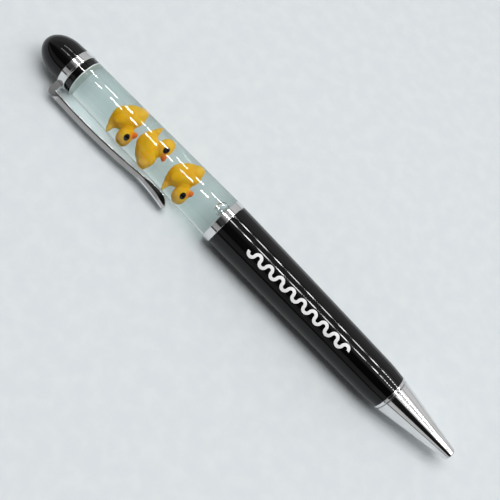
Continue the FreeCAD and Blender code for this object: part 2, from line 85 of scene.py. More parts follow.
# %% Radii and walls, in millimetres
bore_radius = 4.4
top_spigot_radius = 4.9
tube_top_radius = 5.15
tube_middle_radius = 5.53
bottom_spigot_radius = 5.05
clip_band_radius = 5.3
nose_spigot_radius = 4.3
stud_radius = 2.5
dome_round_length = 7.2
dome_round_radius = 5.0
dome_radius = outer_radius("dome_cap")
clip_lip_radius = outer_radius("clip_band")
tube_bottom_radius = outer_radius("clear_tube")
band_radius = outer_radius("centre_band")
barrel_radius = outer_radius("lower_barrel")
nose_ring_radius = outer_radius("nose_ring")
nose_radius = outer_radius("nose_cone")

# The pen lies rolled about its own axis, on its clip and its centre band
roll = math.radians(30.61)
towards_clip = Vector((0, -math.cos(roll), -math.sin(roll)))
towards_viewer = Vector((0, -math.sin(roll), math.cos(roll)))
rolled = Matrix.Rotation(roll, 4, "X")

# %% [markdown]
# Finishes
#
# Each finish starts from what the real one is and how its surface was made. A helper turns the usual hex
# colours into linear light, and another adds one node with its settings and links, so that each finish
# reads as a list.

# %% Helpers for finishes


def linear(hex_colour):
    """Turns an sRGB hex colour into the linear colour that a shader wants."""
    channels = []
    for place in (1, 3, 5):
        value = int(hex_colour[place:place + 2], 16) / 255
        channels.append(value / 12.92 if value <= 0.04045 else ((value + 0.055) / 1.055) ** 2.4)
    return (*channels, 1.0)


def add_node(material, kind, settings=None, **sockets):
    """Adds a node. A socket's name has _ for a space, and it takes a value or another node's output."""
    node = material.node_tree.nodes.new(kind)
    for field, value in (settings or {}).items():
        setattr(node, field, value)
    for name, value in sockets.items():
        socket = node.inputs[name.replace("_", " ")]
        if isinstance(value, bpy.types.NodeSocket):
            material.node_tree.links.new(value, socket)
        else:
            socket.default_value = value
    return node


def new_finish(name):
    material = bpy.data.materials.new(name)
    material.use_nodes = True
    material.node_tree.nodes.clear()
    return material


def finish_with(material, shader):
    """Makes a shader's output the surface of the finish."""
    add_node(material, "ShaderNodeOutputMaterial", Surface=shader)
    print("finish", material.name)
    return material


def noise(material, size_mm, detail=3.0, stretch=(1, 1, 1)):
    """Noise on Object coordinates, with blotches about size_mm across, longer along a stretched axis."""
    place = add_node(material, "ShaderNodeTexCoord")
    scale = tuple(1 / s for s in stretch)
    turned = add_node(material, "ShaderNodeMapping", Vector=place.outputs["Object"], Scale=scale)
    return add_node(
        material, "ShaderNodeTexNoise", Vector=turned.outputs[0], Scale=1 / (size_mm * MM), Detail=detail
    )


def blend_colours(material, factor, low_colour, high_colour, low=0.35, high=0.65):
    """Two colours mixed by a pattern, with a soft edge between the two levels."""
    ramp = add_node(material, "ShaderNodeValToRGB", Fac=factor)
    ramp.color_ramp.elements[0].position = low
    ramp.color_ramp.elements[0].color = linear(low_colour)
    ramp.color_ramp.elements[1].position = high
    ramp.color_ramp.elements[1].color = linear(high_colour)
    return ramp.outputs[0]


def between(material, factor, low, high):
    """A number that a pattern moves between two levels."""
    levels = add_node(material, "ShaderNodeMapRange", Value=factor, To_Min=low, To_Max=high)
    return levels.outputs[0]


def bump(material, height, depth_mm, strength=1.0):
    node = add_node(material, "ShaderNodeBump", Height=height, Distance=depth_mm * MM, Strength=strength)
    return node.outputs[0]


# %% [markdown]
# Black lacquer
#
# The dome and the barrel are sprayed with black lacquer and baked. Spray gives a mirror-like skin with a
# very faint long ripple, known as orange peel, and handling leaves a thin film that dulls it here and
# there. The photographed barrel reflects little, so the lacquer's specular level is lower than a plain
# plastic's.

# %% Black lacquer
black_lacquer = new_finish("sprayed_black_lacquer")
peel = noise(black_lacquer, 2.5, detail=1.0)
handling = noise(black_lacquer, 9.0, detail=4.0)
lacquer = add_node(
    black_lacquer,
    "ShaderNodeBsdfPrincipled",
    Base_Color=blend_colours(black_lacquer, handling.outputs[0], "#040405", "#080809"),
    Roughness=between(black_lacquer, handling.outputs[0], 0.03, 0.06),
    IOR=1.45,
    Specular_IOR_Level=0.37,
    Normal=bump(black_lacquer, peel.outputs[0], 0.003, 0.2),
)
finish_with(black_lacquer, lacquer.outputs[0])

# %% [markdown]
# Chrome plate
#
# Bands, clip and nose are brass or steel, polished and then plated. Plating is bright with a slightly
# cool tint, and what is left of the polishing is a set of very fine rings round each turned piece.

# %% Chrome plate
chrome_plate = new_finish("chrome_plate")
polish_rings = noise(chrome_plate, 0.25, detail=2.0, stretch=(1, 60, 60))
smears = noise(chrome_plate, 4.0, detail=4.0)
plate = add_node(
    chrome_plate,
    "ShaderNodeBsdfPrincipled",
    Base_Color=blend_colours(chrome_plate, smears.outputs[0], "#e2e2e3", "#eaeaeb"),
    Metallic=1.0,
    Roughness=between(chrome_plate, smears.outputs[0], 0.05, 0.12),
    Normal=bump(chrome_plate, polish_rings.outputs[0], 0.002, 0.25),
)
finish_with(chrome_plate, plate.outputs[0])

# %% [markdown]
# Clear tube and oil
#
# The tube is clear acrylic and the oil in it bends light almost as much, so the bore hardly shows and the
# two act as one thick lens that makes the ducks look wider than they are. Light Path lets lamps and soft
# light through the clear surfaces, because a path tracer finds small lamps through bent light only by
# luck.

# %% Clear finishes
acrylic_ior = 1.49
oil_ior = 1.47
# The photographed bubble is pale with a thin grey rim. A ball of air would have a wide dark rim, because
# its ratio to the oil is 0.68, so this one bends light less than air does.
bubble_ior = 0.84


def clear_finish(name, ior, shade):
    """Clear glass to the eye. Shadow rays and soft light pass, dimmed to the shade."""
    material = new_finish(name)
    glass = add_node(material, "ShaderNodeBsdfGlass", Color=linear("#ffffff"), IOR=ior, Roughness=0.0)
    opening = add_node(material, "ShaderNodeBsdfTransparent", Color=linear(shade))
    path = add_node(material, "ShaderNodeLightPath")
    shader = glass.outputs[0]
    for ray in ("Is Shadow Ray", "Is Diffuse Ray"):
        mixed = add_node(material, "ShaderNodeMixShader", Fac=path.outputs[ray])
        material.node_tree.links.new(shader, mixed.inputs[1])
        material.node_tree.links.new(opening.outputs[0], mixed.inputs[2])
        shader = mixed.outputs[0]
    return finish_with(material, shader)


clear_acrylic = clear_finish("polished_clear_acrylic", acrylic_ior, "#f6f9f9")
acrylic_on_oil = clear_finish("acrylic_bore_wet_with_oil", acrylic_ior / oil_ior, "#ffffff")
air_in_oil = clear_finish("air_bubble_in_oil", bubble_ior, "#ffffff")

clear_oil = new_finish("clear_oil")
oil_haze = noise(clear_oil, 6.0)
oil_colour = blend_colours(clear_oil, oil_haze.outputs[0], "#f1f8f7", "#f4f9f8")
oil_body = add_node(clear_oil, "ShaderNodeBsdfTransparent", Color=oil_colour)
finish_with(clear_oil, oil_body.outputs[0])

# %% [markdown]
# Vinyl ducks and their paint
#
# The ducks are moulded in soft vinyl, dyed right through. The dye is warm yellow, deeper where the wall
# is thick, and light goes a little way in. Beaks are sprayed orange through a mask, which leaves a soft
# edge, and the eyes are drops of black paint. Vinyl and paint bend light hardly more than the oil round
# them, so they have almost no shine of their own there, and each IOR is the ratio to that of the oil.

# %% Duck finishes
duck_vinyl = new_finish("moulded_yellow_vinyl")
dye = noise(duck_vinyl, 2.2, detail=2.0)
grain = noise(duck_vinyl, 0.12, detail=2.0)
body_colour = blend_colours(duck_vinyl, dye.outputs[0], "#ffb31a", "#ffc02c")
paint = add_node(duck_vinyl, "ShaderNodeAttribute", {"attribute_name": "beak_paint"})
painted = add_node(duck_vinyl, "ShaderNodeMix", {"data_type": "RGBA"}, Factor=paint.outputs["Fac"])
# Inputs 6 and 7 of a mix node are its two colours
duck_vinyl.node_tree.links.new(body_colour, painted.inputs[6])
painted.inputs[7].default_value = linear("#ee7a38")
vinyl = add_node(
    duck_vinyl,
    "ShaderNodeBsdfPrincipled",
    Base_Color=painted.outputs[2],
    Roughness=0.38,
    IOR=1.53 / oil_ior,
    Subsurface_Weight=0.55,
    Subsurface_Radius=(1.0, 0.45, 0.12),
    Subsurface_Scale=1.3 * MM,
    Normal=bump(duck_vinyl, grain.outputs[0], 0.01, 0.3),
)
finish_with(duck_vinyl, vinyl.outputs[0])

eye_paint = new_finish("gloss_black_eye_paint")
brush_marks = noise(eye_paint, 0.3)
eye = add_node(
    eye_paint,
    "ShaderNodeBsdfPrincipled",
    Base_Color=blend_colours(eye_paint, brush_marks.outputs[0], "#020101", "#050302"),
    Roughness=0.12,
    IOR=1.5 / oil_ior,
)
finish_with(eye_paint, eye.outputs[0])

# %% [markdown]
# Moulded and plain finishes of the pieces inside
#
# The stoppers, the guide tube and the cam sleeve are moulded plastics, the seals are rubber, and the
# refill is drawn brass. They share one recipe: a colour that drifts a little, a skin with its own
# roughness, and a fine grain from the mould or the drawing die. The seals are pressed against acrylic, so
# their IOR is the ratio to that of acrylic.

# %% Plain finishes


def plain_finish(
    name, colours, roughness, ior=None, metallic=0.0, grain_mm=0.3, depth_mm=0.004, stretch=(1, 1, 1)
):
    """A drifting colour between two hex colours, a roughness between two levels and a fine grain."""
    material = new_finish(name)
    drift = noise(material, 3.0)
    texture = noise(material, grain_mm, detail=2.0, stretch=stretch)
    shader = add_node(
        material,
        "ShaderNodeBsdfPrincipled",
        Base_Color=blend_colours(material, drift.outputs[0], *colours),
        Metallic=metallic,
        Roughness=between(material, drift.outputs[0], *roughness),
        Normal=bump(material, texture.outputs[0], depth_mm, 0.4),
    )
    if ior:
        shader.inputs["IOR"].default_value = ior
    return finish_with(material, shader.outputs[0])


white_stopper = plain_finish("moulded_white_stopper", ("#e3e4e2", "#eeeeec"), (0.35, 0.45), 1.51)
seal_rubber = plain_finish(
    "nitrile_rubber_seal", ("#040404", "#080808"), (0.3, 0.4), 1.52 / acrylic_ior, grain_mm=0.15
)
white_acetal = plain_finish("moulded_white_acetal", ("#dedfdc", "#e9e9e5"), (0.3, 0.42), 1.48)
spring_steel = plain_finish("drawn_spring_steel", ("#9a9b9d", "#b4b4b6"), (0.22, 0.34), metallic=1.0)
refill_brass = plain_finish(
    "drawn_brass", ("#c9a254", "#d6b164"), (0.2, 0.3), metallic=1.0, grain_mm=0.2, stretch=(40, 1, 1)
)
blue_ink = plain_finish("blue_ink", ("#10195c", "#16217a"), (0.1, 0.2), 1.45)
white_print = plain_finish(
    "white_pad_print_ink", ("#efefef", "#f8f8f8"), (0.3, 0.4), 1.5, grain_mm=0.2, depth_mm=0.006
)

inner_finishes = {
    "top_plug": white_stopper,
    "top_seal": seal_rubber,
    "bottom_plug": white_stopper,
    "bottom_seal": seal_rubber,
    "guide_tube": white_acetal,
    "cam_sleeve": white_acetal,
    "follower": white_acetal,
    "follower_pin": spring_steel,
    "retaining_ring": spring_steel,
    "return_spring": spring_steel,
    "refill_tube": refill_brass,
    "refill_tip": refill_brass,
    "writing_ball": spring_steel,
    "ink_fill": blue_ink,
    "barrel_print": white_print,
    "duck_1_eyes": eye_paint,
    "duck_2_eyes": eye_paint,
    "duck_3_eyes": eye_paint,
}
for node_name, finish in inner_finishes.items():
    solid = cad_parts[node_name]
    solid.data.materials.clear()
    solid.data.materials.append(finish)
print("solids that keep their shape:", len(inner_finishes))

# %% [markdown]
# Tools for turned pieces
#
# Most of the pen was turned on a lathe, so most of it is one outline spun about the pen's axis. The
# outline starts as a plane that is merged into a single point, and that point is extruded along the
# outline. Spin carries it round, and a small bevel breaks its edges, because an edge that is broken
# catches the light as the real one does.

# %% Tools for turned pieces


def deselect_everything():
    if bpy.context.object and bpy.context.object.mode != "OBJECT":
        bpy.ops.object.mode_set(mode="OBJECT")
    bpy.ops.object.select_all(action="DESELECT")


def work_on(piece):
    """Makes a piece the only selected one and the active one."""
    deselect_everything()
    piece.select_set(True)
    bpy.context.view_layer.objects.active = piece


def start_outline(name, first_point):
    """A mesh of one point, left in edit mode with the point selected."""
    deselect_everything()
    bpy.ops.mesh.primitive_plane_add(size=MM)
    piece = bpy.context.object
    piece.name = name
    bpy.ops.object.mode_set(mode="EDIT")
    bpy.ops.mesh.select_all(action="SELECT")
    bpy.ops.mesh.merge(type="CENTER")
    x, radius = first_point
    bpy.ops.transform.translate(value=(x * MM, 0, radius * MM))
    return piece


def close_up():
    """Merges doubled points and turns the faces outwards, in edit mode."""
    bpy.ops.mesh.select_all(action="SELECT")
    bpy.ops.mesh.remove_doubles(threshold=0.001 * MM)
    bpy.ops.mesh.normals_make_consistent(inside=False)
    bpy.ops.object.mode_set(mode="OBJECT")


def round_edges(piece, width_mm, segments=3, angle_deg=25):
    """Breaks every edge sharper than the angle, and shades the piece smooth."""
    work_on(piece)
    bpy.ops.object.shade_smooth()
    bevel = piece.modifiers.new("edge_break", "BEVEL")
    bevel.width = width_mm * MM
    bevel.segments = segments
    bevel.limit_method = "ANGLE"
    bevel.angle_limit = math.radians(angle_deg)
    bevel.harden_normals = True
    bpy.ops.object.modifier_apply(modifier=bevel.name)


def smooth_by_angle(piece, angle_deg=30):
    """Shades a piece smooth, but leaves every edge sharper than the angle sharp."""
    work_on(piece)
    bpy.ops.object.shade_smooth_by_angle(angle=math.radians(angle_deg))


def turned_piece(name, outline, closed=True, steps=128, edge_mm=0.1):
    """Spins an outline of (x, radius) points about the pen's axis. A closed outline goes round a bore."""
    piece = start_outline(name, outline[0])
    stops = outline[1:] + outline[:1] if closed else outline[1:]
    here = outline[0]
    for stop in stops:
        step = ((stop[0] - here[0]) * MM, 0, (stop[1] - here[1]) * MM)
        bpy.ops.mesh.extrude_vertices_move(TRANSFORM_OT_translate={"value": step})
        here = stop
    bpy.ops.mesh.select_all(action="SELECT")
    bpy.ops.mesh.spin(steps=steps, angle=2 * math.pi, center=(0, 0, 0), axis=(1, 0, 0))
    close_up()
    if edge_mm:
        round_edges(piece, edge_mm)
    else:
        bpy.ops.object.shade_smooth()
    print(name, "has", len(piece.data.polygons), "faces")
    return piece


def dress(piece, finish, slot, body, *nodes):
    """Gives a piece its finish, parents it to the body that it moves with, and hides the solids it stands
    for.
    """
    if len(piece.data.materials) == 0:
        piece.data.materials.append(finish)
    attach(piece, body)
    if nodes:
        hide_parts(*nodes)


def arc_through(first, middle, last, count):
    """Points on the circle through three (x, radius) points, evenly spaced in x."""
    (x1, y1), (x2, y2), (x3, y3) = first, middle, last
    d = 2 * (x1 * (y2 - y3) + x2 * (y3 - y1) + x3 * (y1 - y2))
    q1 = x1 * x1 + y1 * y1
    q2 = x2 * x2 + y2 * y2
    q3 = x3 * x3 + y3 * y3
    centre_x = (q1 * (y2 - y3) + q2 * (y3 - y1) + q3 * (y1 - y2)) / d
    centre_y = (q1 * (x3 - x2) + q2 * (x1 - x3) + q3 * (x2 - x1)) / d
    radius = math.hypot(x1 - centre_x, y1 - centre_y)
    points = []
    for step in range(count + 1):
        x = x1 + (x3 - x1) * step / count
        reach = math.sqrt(radius ** 2 - (x - centre_x) ** 2)
        points.append((x, centre_y - math.copysign(reach, centre_y - y1)))
    return points


# %% [markdown]
# Dome cap
#
# The cap is a long rounded dome: a quarter of an ellipse that runs into a very slight flare. It is bored
# for the stud of the top stopper. The outline starts and ends on the axis, so the spin closes it.

# %% Dome cap
dome_steps = 24
dome_outline = []
for step in range(dome_steps + 1):
    turn = math.pi / 2 * step / dome_steps
    x = dome_start + dome_round_length * (1 - math.cos(turn))
    dome_outline.append((x, dome_round_radius * math.sin(turn)))
stud_start = span("top_plug")[0]
dome_outline += [
    (dome_end, dome_radius),
    (dome_end, stud_radius),
    (stud_start, stud_radius),
    (stud_start, 0),
]
dome = turned_piece("dome_cap_gloss", dome_outline, closed=False, edge_mm=0.12)
dress(dome, black_lacquer, "black_lacquer", "upper", "dome_cap")

# %% [markdown]
# Clip band and centre band
#
# Both bands are short rings. The clip band has a raised bead at its lower end, and a notch that the
# clip's leg comes out of. A box cuts the notch with a Boolean modifier, the way that a mill would.

# %% Clip band
lip_half = 0.3
lip_steps = 8
lip_foot = 0.9 * lip_half
band_chamfer = 0.1
lip_middle = tube_seen_start - lip_half
lip_outline = []
for step in range(lip_steps + 1):
    turn = math.pi * step / lip_steps
    x = lip_middle - lip_half * math.cos(turn)
    lip_outline.append((x, clip_lip_radius - lip_half * (1 - math.sin(turn))))
clip_band = turned_piece("clip_band_bright", [
    (clip_band_start, top_spigot_radius),
    (clip_band_start, clip_band_radius - band_chamfer),
    (clip_band_start + band_chamfer, clip_band_radius),
    (lip_middle - lip_foot, clip_band_radius),
] + lip_outline[1:] + [(tube_seen_start, top_spigot_radius)], edge_mm=0)
notch_length = 1.75
notch_width = 4.0
cutter_side = 4.0
cutter_reach = 5.0
cutter_x = clip_band_start + notch_length - cutter_side / 2
deselect_everything()
bpy.ops.mesh.primitive_cube_add(
    size=MM,
    location=(Vector((cutter_x, 0, 0)) + cutter_reach * towards_clip) * MM,
    scale=(cutter_side, cutter_side, notch_width),
    rotation=(roll, 0, 0),
)
cutter = bpy.context.object
notch = clip_band.modifiers.new("notch", "BOOLEAN")
notch.object = cutter
notch.operation = "DIFFERENCE"
notch.solver = "EXACT"
work_on(clip_band)
bpy.ops.object.modifier_apply(modifier=notch.name)
bpy.data.objects.remove(cutter)
round_edges(clip_band, 0.04)
dress(clip_band, chrome_plate, "chrome_plate", "upper", "clip_band")

# %% Centre band
centre_band = turned_piece("centre_band_bright", [
    (band_start, bottom_spigot_radius),
    (band_start, band_radius),
    (band_end, band_radius),
    (band_end, bottom_spigot_radius),
], edge_mm=0.15)
dress(centre_band, chrome_plate, "chrome_plate", "upper", "centre_band")

# %% [markdown]
# Lower barrel, nose ring and nose cone
#
# The barrel narrows along one long curve and then rounds over a short shoulder. The nose cone is a
# straight taper with a spigot inside the barrel, a bore for the refill and a rounded end round the hole.
# A small V-shaped groove parts the ring from the cone.

# %% Lower barrel
shoulder_length = 4.5
shoulder_radius = 5.36
shoulder_bulge = 0.05
bore_step_gap = 0.1
barrel_middle_radius = 5.74
barrel_end_radius = 4.98
sleeve_bore_radius = outer_radius("cam_sleeve")
bore_step = span("guide_tube")[1] + bore_step_gap
shoulder_start = barrel_end - shoulder_length
long_curve = arc_through(
    (barrel_start, barrel_radius),
    ((barrel_start + shoulder_start) / 2, barrel_middle_radius),
    (shoulder_start, shoulder_radius),
    count=36,
)
shoulder_curve = arc_through(
    (shoulder_start, shoulder_radius),
    ((shoulder_start + barrel_end) / 2, (shoulder_radius + barrel_end_radius) / 2 + shoulder_bulge),
    (barrel_end, barrel_end_radius),
    count=10,
)
barrel = turned_piece("lower_barrel_gloss", long_curve + shoulder_curve[1:] + [
    (barrel_end, nose_spigot_radius),
    (bore_step, nose_spigot_radius),
    (bore_step, sleeve_bore_radius),
    (barrel_start, sleeve_bore_radius),
], edge_mm=0.08)
dress(barrel, black_lacquer, "black_lacquer", "lower", "lower_barrel")

# %% Nose ring
groove_depth = 0.5
groove_half = 0.25
nose_ring = turned_piece("nose_ring_bright", [
    (ring_start, nose_spigot_radius),
    (ring_start, nose_ring_radius),
    (ring_end - groove_half, nose_ring_radius),
    (ring_end, nose_ring_radius - groove_depth),
    (ring_end, nose_spigot_radius),
], edge_mm=0.12)
dress(nose_ring, chrome_plate, "chrome_plate", "lower", "nose_ring")

# %% Nose cone
hole_radius = 0.9
hole_length = 3.5
refill_bore_radius = 1.45
hollow_radius = 3.5
hollow_length = 3.0
hollow_end = ring_end + hollow_length
tip_radius = 1.75
tip_round = 0.7
taper_start = ring_end + groove_half
taper_end = nose_end - tip_round
taper_steps = 18
tip_steps = 6
cone_outline = [(nose_end - hole_length, refill_bore_radius), (hollow_end, refill_bore_radius)]
cone_outline += [(hollow_end, hollow_radius), (nose_spigot_start, hollow_radius)]
cone_outline += [(nose_spigot_start, nose_spigot_radius), (ring_end, nose_spigot_radius)]
cone_outline.append((ring_end, nose_radius - groove_depth))
for step in range(taper_steps + 1):
    share = step / taper_steps
    x = taper_start + (taper_end - taper_start) * share
    cone_outline.append((x, nose_radius + (tip_radius - nose_radius) * share))
for step in range(1, tip_steps + 1):
    turn = math.pi / 2 * step / tip_steps
    x = taper_end + tip_round * math.sin(turn)
    cone_outline.append((x, tip_radius - tip_round * (1 - math.cos(turn))))
cone_outline += [(nose_end, hole_radius), (nose_end - hole_length, hole_radius)]
nose = turned_piece("nose_cone_bright", cone_outline, edge_mm=0.08)
dress(nose, chrome_plate, "chrome_plate", "lower", "nose_cone")

# %% [markdown]
# Clear tube, oil and bubble
#
# The tube flares along one gentle curve from the clip band to the centre band, and has a spigot at each
# end. Its bore gets a finish of its own, because there the light goes from acrylic into oil and not into
# air. The oil is a plain fill with a pale tint, and the bubble is a ball of air in it, cut flat where it
# meets the stopper.

# %% Clear tube
bore_gap = 0.01
near_bore = 0.02
wet_bore = bore_radius + bore_gap
flare = arc_through(
    (tube_seen_start, tube_top_radius),
    ((tube_seen_start + band_start) / 2, tube_middle_radius),
    (band_start, tube_bottom_radius),
    count=40,
)
tube = turned_piece("clear_tube_polished", [
    (tube_start, wet_bore),
    (tube_start, top_spigot_radius),
    (tube_seen_start, top_spigot_radius),
] + flare + [
    (band_start, bottom_spigot_radius),
    (tube_end, bottom_spigot_radius),
    (tube_end, wet_bore),
], steps=160, edge_mm=0)
tube.data.materials.append(clear_acrylic)
tube.data.materials.append(acrylic_on_oil)
bore_faces = 0
for face in tube.data.polygons:
    centre = face.center / MM
    if math.hypot(centre.y, centre.z) < wet_bore + near_bore and abs(face.normal.x) < 0.5:
        face.material_index = 1
        bore_faces += 1
smooth_by_angle(tube)
print("faces of the bore:", bore_faces)
dress(tube, clear_acrylic, "clear_acrylic", "upper", "clear_tube")

# %% Oil and bubble
oil_start, oil_end = span("oil_fill")
oil_skin = 0.005
oil = turned_piece("oil_fill_clear", [
    (oil_start + oil_skin, 0),
    (oil_start + oil_skin, bore_radius + oil_skin),
    (oil_end - oil_skin, bore_radius + oil_skin),
    (oil_end - oil_skin, 0),
], closed=False, steps=160, edge_mm=0)
oil.data.materials.append(clear_oil)
smooth_by_angle(oil)

bubble_radius = 1.55
bubble_gap = 0.1
bubble_from_plug = 1.1
bubble_skin = 0.02
bubble_side = math.radians(34)
bubble_reach = bore_radius - bubble_radius - bubble_gap
bubble_centre = rolled @ Vector((
    band_start - bubble_from_plug,
    bubble_reach * math.sin(bubble_side),
    bubble_reach * math.cos(bubble_side),
))
deselect_everything()
bpy.ops.mesh.primitive_uv_sphere_add(
    segments=64, ring_count=32, radius=bubble_radius * MM, location=bubble_centre * MM
)
bubble = bpy.context.object
bubble.name = "bubble_in_oil"
bpy.ops.object.transform_apply(location=True)
bpy.ops.object.mode_set(mode="EDIT")
bpy.ops.mesh.select_all(action="SELECT")
bpy.ops.mesh.bisect(
    plane_co=((band_start - bubble_skin) * MM, 0, 0), plane_no=(1, 0, 0), use_fill=True, clear_outer=True
)
smooth_by_angle(bubble)
bubble.data.materials.append(air_in_oil)
oil.select_set(True)
bpy.context.view_layer.objects.active = oil
bpy.ops.object.join()
dress(oil, clear_oil, "clear_oil", "upper", "oil_fill")
print("oil piece has", len(oil.data.polygons), "faces")

# %% [markdown]
# Ducks
#
# A bath duck is a few soft lumps: a body like an egg, a head, a flat beak and a tail that turns up. The
# lumps are made as balls, each one stretched and moved, then a remesh melts them into one skin and a few
# rounds of smoothing leave soft valleys between them. One duck is made and copied, and each copy gets its
# own place in the oil.

# %% Model one duck
duck_half_length = 3.75
duck_half_width = 2.4
head_radius = 1.95
head_forward = 1.12
head_up = 3.5
beak_half_length = 1.1
beak_half_height = 0.55
beak_reach = 3.9
beak_up = head_up - 0.25


def lump(place, size, pitch_deg=0.0):
    """One ball of the duck, stretched to its three half sizes in millimetres."""
    deselect_everything()
    bpy.ops.mesh.primitive_uv_sphere_add(segments=48, ring_count=24, radius=MM)
    ball = bpy.context.object
    ball.scale = size
    ball.rotation_euler = (0, math.radians(pitch_deg), 0)
    ball.location = Vector(place) * MM
    bpy.ops.object.transform_apply(location=True, rotation=True, scale=True)
    return ball


# Body, two lumps of the breast, rump, head, neck, beak, three lumps of the tail and two wings
lumps = [
    lump((0.3, 0, -0.15), (duck_half_length, duck_half_width, duck_half_width)),
    lump((2.5, 0, -0.85), (1.7, 1.8, 1.65)),
    lump((2.4, 0, 0.3), (1.6, 1.8, 1.5)),
    lump((-1.5, 0, -0.55), (1.8, 1.75, 1.75)),
    lump((head_forward, 0, head_up), (head_radius, head_radius, head_radius)),
    lump((head_forward, 0, head_up - 1.9), (1.6, 1.6, 1.6)),
    lump((beak_reach - beak_half_length, 0, beak_up), (beak_half_length, 1.1, beak_half_height + 0.1)),
    lump((-2.1, 0, 0.6), (1.45, 1.3, 1.5)),
    lump((-2.75, 0, 1.7), (0.8, 0.75, 1.1), pitch_deg=-25),
    lump((-3.15, 0, 2.5), (0.42, 0.45, 0.85), pitch_deg=-25),
    lump((-0.4, 1.8, 0.25), (2.1, 0.75, 1.15), pitch_deg=14),
    lump((-0.4, -1.8, 0.25), (2.1, 0.75, 1.15), pitch_deg=14),
]
deselect_everything()
for ball in lumps:
    ball.select_set(True)
bpy.context.view_layer.objects.active = lumps[0]
bpy.ops.object.join()
duck = bpy.context.object
melt = duck.modifiers.new("melt", "REMESH")
melt.mode = "VOXEL"
melt.voxel_size = 0.12 * MM
bpy.ops.object.modifier_apply(modifier=melt.name)
soften = duck.modifiers.new("soften", "SMOOTH")
soften.factor = 0.5
soften.iterations = 6
bpy.ops.object.modifier_apply(modifier=soften.name)
bpy.ops.object.shade_smooth()
print("one duck has", len(duck.data.polygons), "faces")

# %% [markdown]
# Beak paint
#
# Where the beak is sprayed is a number on each point of the mesh, 1 on the beak and 0 elsewhere, with a
# short fade between. The vinyl's finish reads that number as an attribute, so the paint stays on the duck
# at any pose.

# %% Paint the beak
paint_level = duck.data.attributes.new("beak_paint", "FLOAT", "POINT")
paint_start = 2.75
paint_fade = 0.5
paint_half_height = 0.9
beak_root = head_forward + 1
for point, level in zip(duck.data.vertices, paint_level.data):
    x, y, z = point.co / MM
    forward = (math.hypot(x - head_forward, y) + head_forward - paint_start) / paint_fade
    on_beak = x > beak_root and abs(z - beak_up) < paint_half_height
    level.value = max(0.0, min(1.0, forward)) if on_beak else 0.0
duck.data.materials.append(duck_vinyl)

# %% Float three ducks
drawn_reach = 4.2
wall_gap = 0.2
reach = bore_radius - wall_gap
size = reach / drawn_reach
tail_back = 3.3
tail_up = 3.1
tail_tip = 0.3
# Millimetres down the tube, height towards the viewer, pitch in degrees, and 1 where the head is on the
# clip's side or -1 where it is on the other
duck_places = [
    (15.95, 0.0, 31.0, 1),
    (24.65, 0.35, -36.0, -1),
    (35.35, 0.0, 30.0, 1),
]
for number, (along, depth, pitch, side) in enumerate(duck_places, 1):
    floating = duck.copy()
    floating.data = duck.data.copy()
    floating.name = f"duck_{number}_vinyl"
    bpy.context.collection.objects.link(floating)
    slope = math.radians(abs(pitch))
    tail_reach = tail_back * math.sin(slope) + tail_up * math.cos(slope) + tail_tip
    across = side * (tail_reach * size - reach)
    place = Vector((tube_seen_start + along, across, depth)) * MM
    turn = Matrix.Rotation(math.radians(pitch), 4, "Z") @ Matrix.Rotation(math.radians(90 * side), 4, "X")
    floating.data.transform(rolled @ Matrix.Translation(place) @ turn @ Matrix.Scale(size, 4))
    dress(floating, duck_vinyl, "duck_vinyl", "upper", f"duck_{number}")
    print(floating.name, "floats", along, "mm down the tube")
bpy.data.objects.remove(duck)

# %% [markdown]
# Pocket clip
#
# The clip is one strip of steel: a washer under the dome, a leg, a springy arm that closes on the tube,
# and a leaf-shaped end pressed into a spoon. It is modelled in the pen's own upright place, with the clip
# below the pen, from a box for the leg. The leg's side is extruded along the arm, with a width and a
# thickness at each station, and the finished strip is turned to the roll at which the pen lies.

# %% Stations of the clip
leg_length = 1.65
arm_half_width = 1.9
arm_thickness = 1.52
arm_gap = 1.9
# Shares of the arm's length, each with the share of the gap that is left there
arm_closing = [(0.0, 1.0), (0.37, 1.03), (0.72, 0.76), (1.0, 0.33)]
crown_length = 1.1
crown_share = 0.38
crown_start = 1.45
arm_length = 27.8
spoon_length = 10.5
spoon_half_width = 2.4
leg_end = clip_band_start + leg_length
spoon_start = leg_end + arm_length
spoon_middle = spoon_start + spoon_length / 2
spoon_end = spoon_start + spoon_length


def tube_radius(x):
    """Radius of the tube's outside at x, in millimetres."""
    nearest = min(range(len(flare) - 1), key=lambda n: abs((flare[n][0] + flare[n + 1][0]) / 2 - x))
    (x1, y1), (x2, y2) = flare[nearest], flare[nearest + 1]
    return y1 + (y2 - y1) * (x - x1) / (x2 - x1)


def arm_gap_at(x):
    """Gap between tube and arm: the cubic curve through the four places of arm_closing."""
    share = (x - leg_end) / arm_length
    total = 0.0
    for here, level in arm_closing:
        for other, _ in arm_closing:
            if other != here:
                level *= (share - other) / (here - other)
        total += level
    return arm_gap * total


